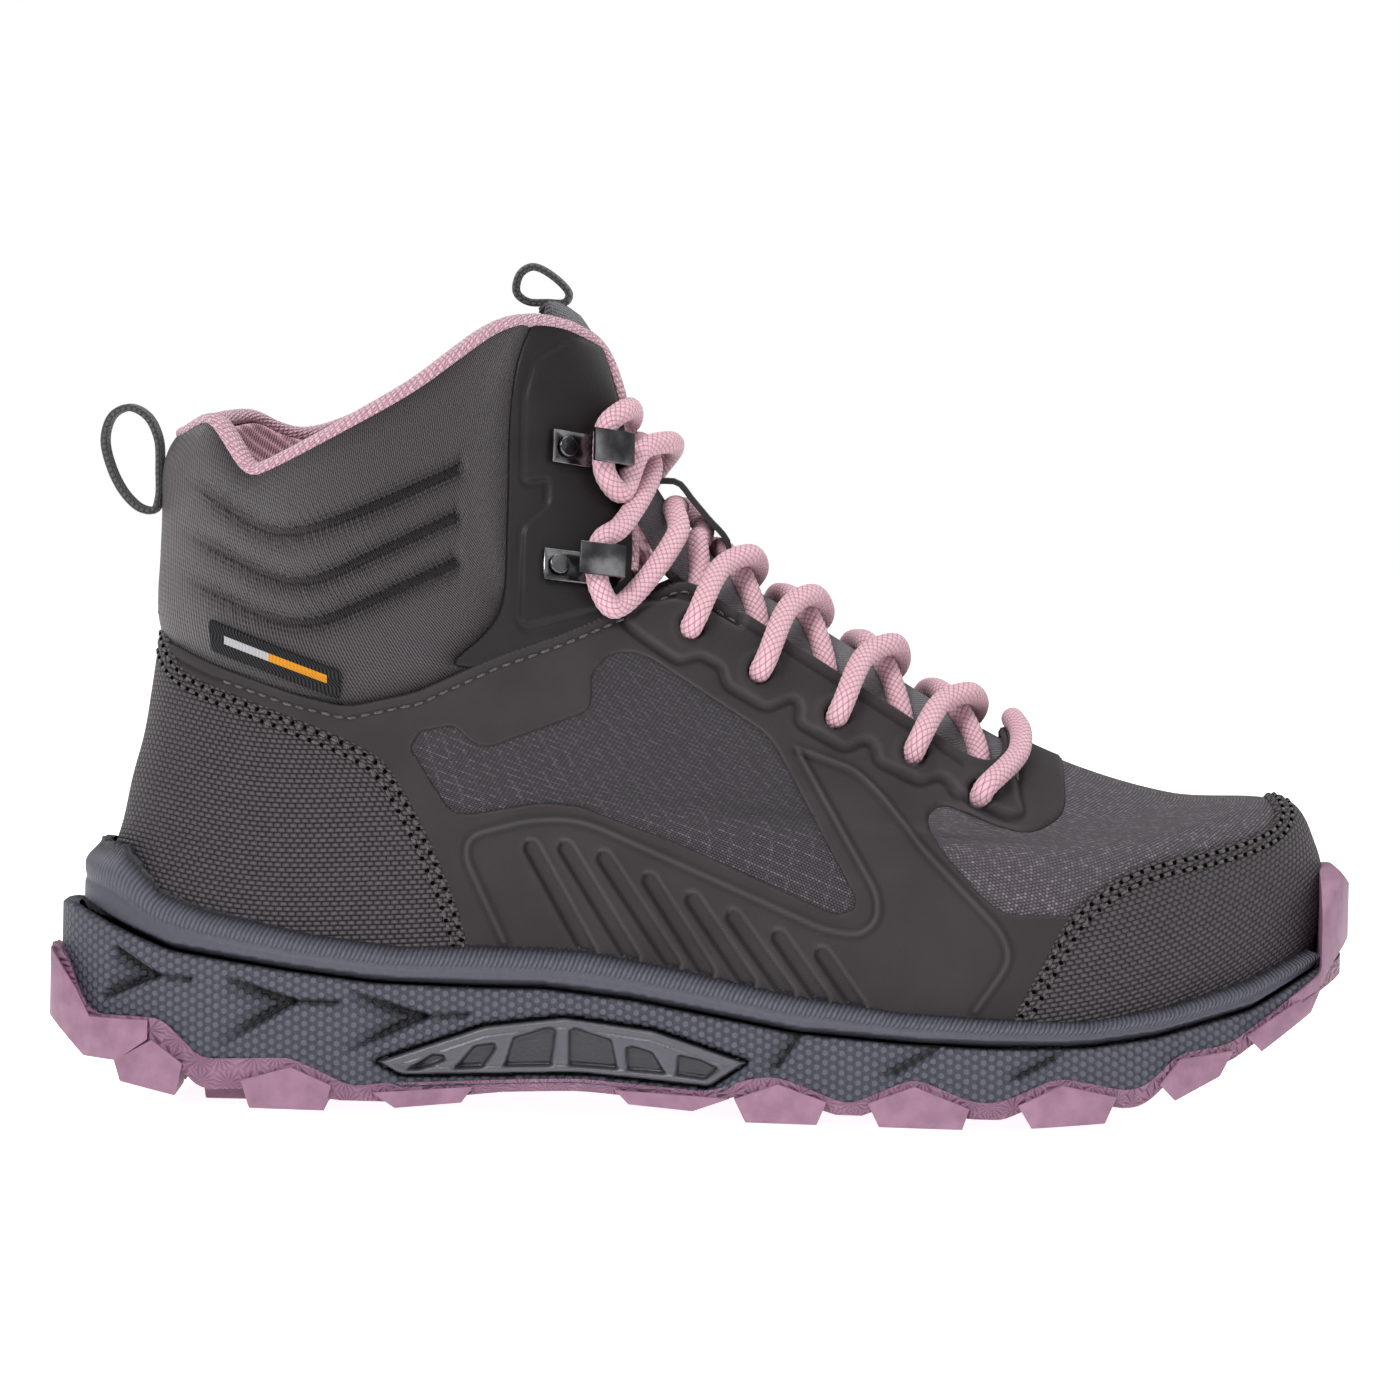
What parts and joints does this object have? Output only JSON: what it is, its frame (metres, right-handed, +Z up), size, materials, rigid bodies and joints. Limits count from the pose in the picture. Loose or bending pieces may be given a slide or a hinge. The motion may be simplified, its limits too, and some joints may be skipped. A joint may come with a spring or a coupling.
{
  "type": "hiking boot",
  "caption": "Mid-height lace-up walking boot for the right foot, with a lugged rubber outsole, rubber rand, panelled textile upper, lace hooks, padded shaft and pull loops.",
  "frame": {"origin": "on the ground under the middle of the boot's box", "axes": "+X from the heel to the toe, +Y to the inner (medial) side, +Z up; a right boot"},
  "size_m": [0.2872, 0.1004, 0.1861],
  "materials": {
    "ballistic_nylon": "dark grey basket-weave nylon",
    "ripstop_canvas": "purple-grey ripstop weave",
    "welded_film": "dark matt film over cloth, embossed",
    "collar_satin": "ribbed satin knit, padded",
    "hook_film": "coated black film, matt",
    "lining_mesh": "pink spacer mesh",
    "foam": "open foam",
    "stiffener_board": "matt thermoplastic board",
    "lasting_board": "fibreboard",
    "footbed": "textile covered foam",
    "shank_nylon": "filled nylon",
    "midsole_foam": "slate moulded foam, cellular texture",
    "rand_rubber": "slate rubber, ribbed",
    "arch_plate": "satin moulded plastic",
    "outsole_rubber": "mauve rubber, matt",
    "tongue_fabric": "dark padded cloth",
    "webbing": "dark grey woven tape",
    "label_tape": "black herringbone tape",
    "lace_braid": "pink flat herringbone braid",
    "aglet": "clear gloss over the braid",
    "hook_metal": "gunmetal, polished edges"
  },
  "bodies": {
    "root": {"aglet_lateral": "aglet", "aglet_medial": "aglet", "ankle_collar": "collar_satin", "arch_plate_lateral": "arch_plate", "arch_plate_medial": "arch_plate", "back_strap": "webbing", "collar_binding": "lining_mesh", "footbed": "footbed", "heel_panel": "ballistic_nylon", "heel_stiffener": "stiffener_board", "hook_panel_lateral": "hook_film", "hook_panel_medial": "hook_film", "hook_rivet_lower_lateral": "hook_metal", "hook_rivet_lower_medial": "hook_metal", "hook_rivet_upper_lateral": "hook_metal", "hook_rivet_upper_medial": "hook_metal", "lace": "lace_braid", "lace_hook_lower_lateral": "hook_metal", "lace_hook_lower_medial": "hook_metal", "lace_hook_upper_lateral": "hook_metal", "lace_hook_upper_medial": "hook_metal", "lace_keeper": "webbing", "lasting_board": "lasting_board", "lining": "lining_mesh", "midsole_core": "midsole_foam", "midsole_rand": "rand_rubber", "outsole": "outsole_rubber", "padding": "foam", "quarter_overlay": "welded_film", "shank": "shank_nylon", "side_window_lateral": "ripstop_canvas", "side_window_medial": "ripstop_canvas", "toe_cap": "ballistic_nylon", "toe_puff": "stiffener_board", "tongue": "tongue_fabric", "vamp": "ripstop_canvas"},
    "heel_loop": {"heel_loop": "webbing"},
    "tongue_loop": {"tongue_loop": "webbing"},
    "label_flap": {"label_flap": "label_tape"}
  },
  "joints": [
    {"name": "heel_loop_swing", "type": "hinge", "parent": "root", "child": "heel_loop", "pos_m": [-0.12296, 0.00233, 0.1296], "axis": [0, -1, 0], "range_deg": [0, 75], "stiffness_Nm_per_rad": 0.006},
    {"name": "tongue_loop_swing", "type": "hinge", "parent": "root", "child": "tongue_loop", "pos_m": [-0.03656, 0.00233, 0.1775], "axis": [0, 1, 0], "range_deg": [-30, 12], "stiffness_Nm_per_rad": 0.003},
    {"name": "label_flap_swing", "type": "hinge", "parent": "root", "child": "label_flap", "pos_m": [-0.092, -0.0277, 0.094], "axis": [0.9048, -0.2811, -0.3199], "range_deg": [0, 50], "stiffness_Nm_per_rad": 0.002}
  ]
}
